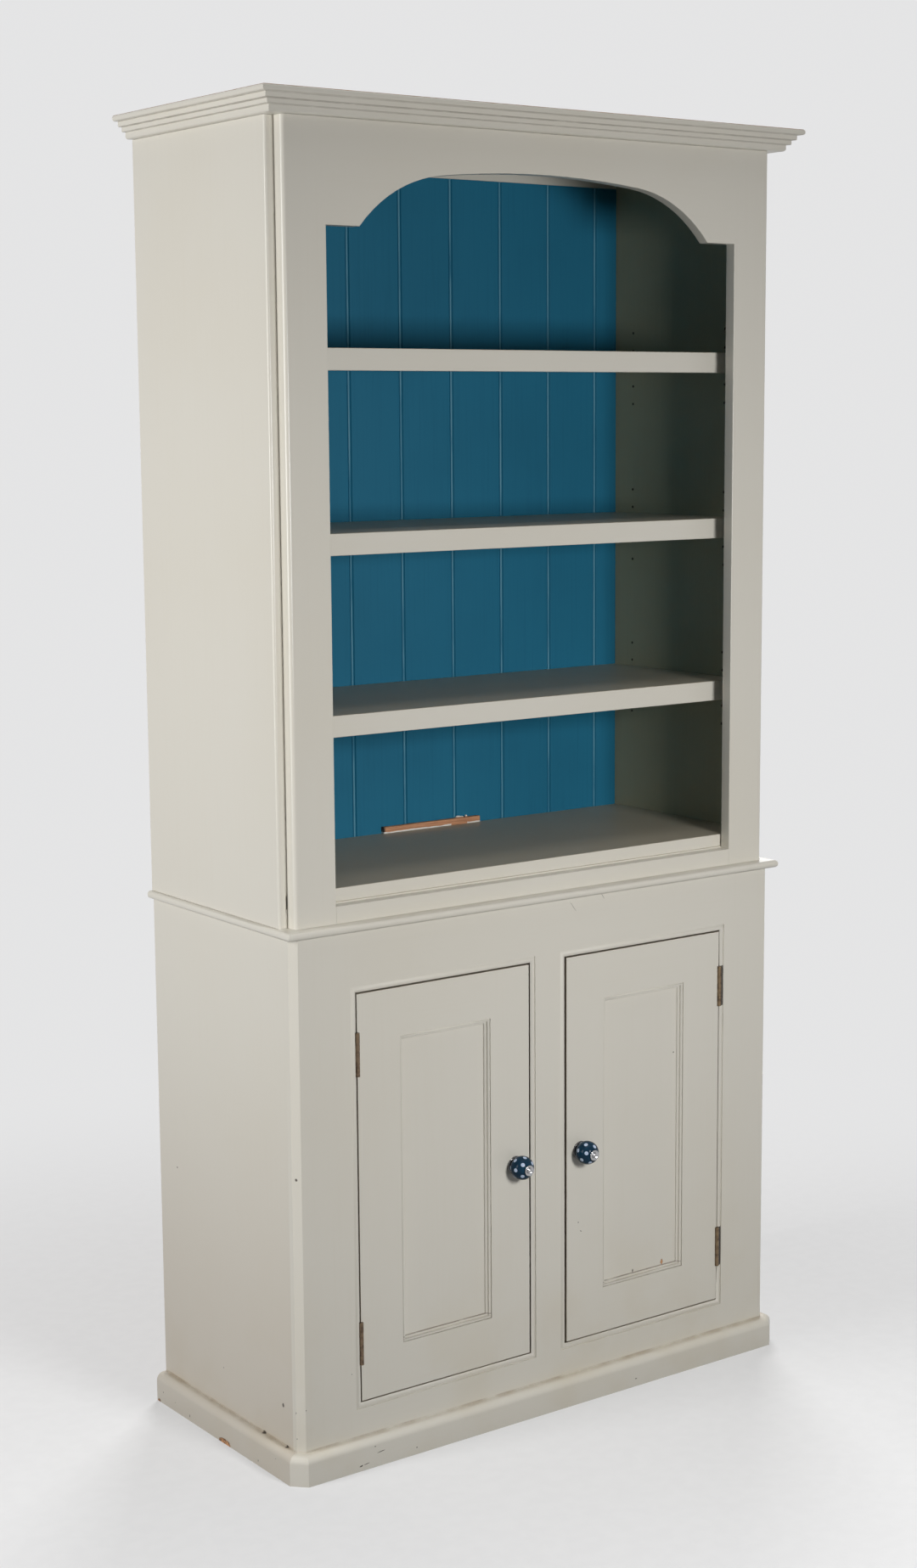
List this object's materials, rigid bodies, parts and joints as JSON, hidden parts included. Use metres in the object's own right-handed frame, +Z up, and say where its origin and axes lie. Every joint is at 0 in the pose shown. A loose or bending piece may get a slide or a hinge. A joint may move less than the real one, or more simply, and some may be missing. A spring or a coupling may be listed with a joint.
{
  "type": "bookcase cabinet",
  "caption": "Tall painted bookcase with an arched frieze, adjustable shelves and a boarded back, standing on a cupboard with hinged panel doors and round knobs.",
  "frame": {"origin": "on the floor, in the middle of the box around the whole object", "axes": "+Z up, +X to the viewer's right when facing the doors, -Y towards the viewer, so the doors face -Y"},
  "size_m": [1.0766, 0.4754, 2.155],
  "materials": {
    "cream_paint": "satin cream paint, lightly worn",
    "teal_paint": "satin blue-green paint",
    "raw_wood": "bare reddish softwood",
    "bare_board": "bare sheet board",
    "aged_brass": "aged brass",
    "chrome": "polished",
    "glazed_ceramic": "glossy glaze with pale spots",
    "catch_steel": "zinc plated"
  },
  "bodies": {
    "case": {"arched_frieze": "cream_paint", "back_batten": "raw_wood", "bookcase_back": "teal_paint", "bookcase_back_rail": "cream_paint", "bookcase_bottom_rail": "cream_paint", "bookcase_floor": "cream_paint", "bookcase_side_left": "cream_paint", "bookcase_side_right": "cream_paint", "bookcase_stile_left": "cream_paint", "bookcase_stile_right": "cream_paint", "bookcase_top": "bare_board", "cock_bead_left": "cream_paint", "cock_bead_right": "cream_paint", "cornice_front": "cream_paint", "cornice_left": "cream_paint", "cornice_right": "cream_paint", "cupboard_back": "bare_board", "cupboard_bottom_rail": "cream_paint", "cupboard_floor": "cream_paint", "cupboard_muntin": "cream_paint", "cupboard_shelf": "cream_paint", "cupboard_side_left": "cream_paint", "cupboard_side_right": "cream_paint", "cupboard_stile_left": "cream_paint", "cupboard_stile_right": "cream_paint", "cupboard_top_rail": "cream_paint", "door_catch": "catch_steel", "hinge_left_lower_frame_leaf": "aged_brass", "hinge_left_upper_frame_leaf": "aged_brass", "hinge_right_lower_frame_leaf": "aged_brass", "hinge_right_upper_frame_leaf": "aged_brass", "plinth_front": "cream_paint", "plinth_left": "cream_paint", "plinth_right": "cream_paint", "waist_board": "cream_paint"},
    "door_left": {"door_left_bottom_rail": "cream_paint", "door_left_hinge_stile": "cream_paint", "door_left_lock_stile": "cream_paint", "door_left_moulding": "cream_paint", "door_left_panel": "cream_paint", "door_left_top_rail": "cream_paint", "hinge_left_lower_door_leaf": "aged_brass", "hinge_left_upper_door_leaf": "aged_brass", "knob_left_ball": "glazed_ceramic", "knob_left_rose": "chrome", "knob_left_screw": "chrome"},
    "door_right": {"door_right_bottom_rail": "cream_paint", "door_right_hinge_stile": "cream_paint", "door_right_lock_stile": "cream_paint", "door_right_moulding": "cream_paint", "door_right_panel": "cream_paint", "door_right_top_rail": "cream_paint", "hinge_right_lower_door_leaf": "aged_brass", "hinge_right_upper_door_leaf": "aged_brass", "knob_right_ball": "glazed_ceramic", "knob_right_rose": "chrome", "knob_right_screw": "chrome"},
    "shelf_lower": {"shelf_lower": "cream_paint"},
    "shelf_middle": {"shelf_middle": "cream_paint"},
    "shelf_upper": {"shelf_upper": "cream_paint"}
  },
  "joints": [
    {"name": "door_left_hinge", "type": "hinge", "parent": "case", "child": "door_left", "pos_m": [-0.3818, -0.19777, 0.445], "axis": [0, 0, -1], "range_deg": [0, 165]},
    {"name": "door_right_hinge", "type": "hinge", "parent": "case", "child": "door_right", "pos_m": [0.3818, -0.19777, 0.445], "axis": [0, 0, 1], "range_deg": [0, 165]},
    {"name": "shelf_lower_lift", "type": "slide", "parent": "case", "child": "shelf_lower", "axis": [0, 0, 1], "range_m": [0, 0.064]},
    {"name": "shelf_middle_lift", "type": "slide", "parent": "case", "child": "shelf_middle", "axis": [0, 0, 1], "range_m": [0, 0.064]},
    {"name": "shelf_upper_lift", "type": "slide", "parent": "case", "child": "shelf_upper", "axis": [0, 0, 1], "range_m": [0, 0.064]}
  ]
}
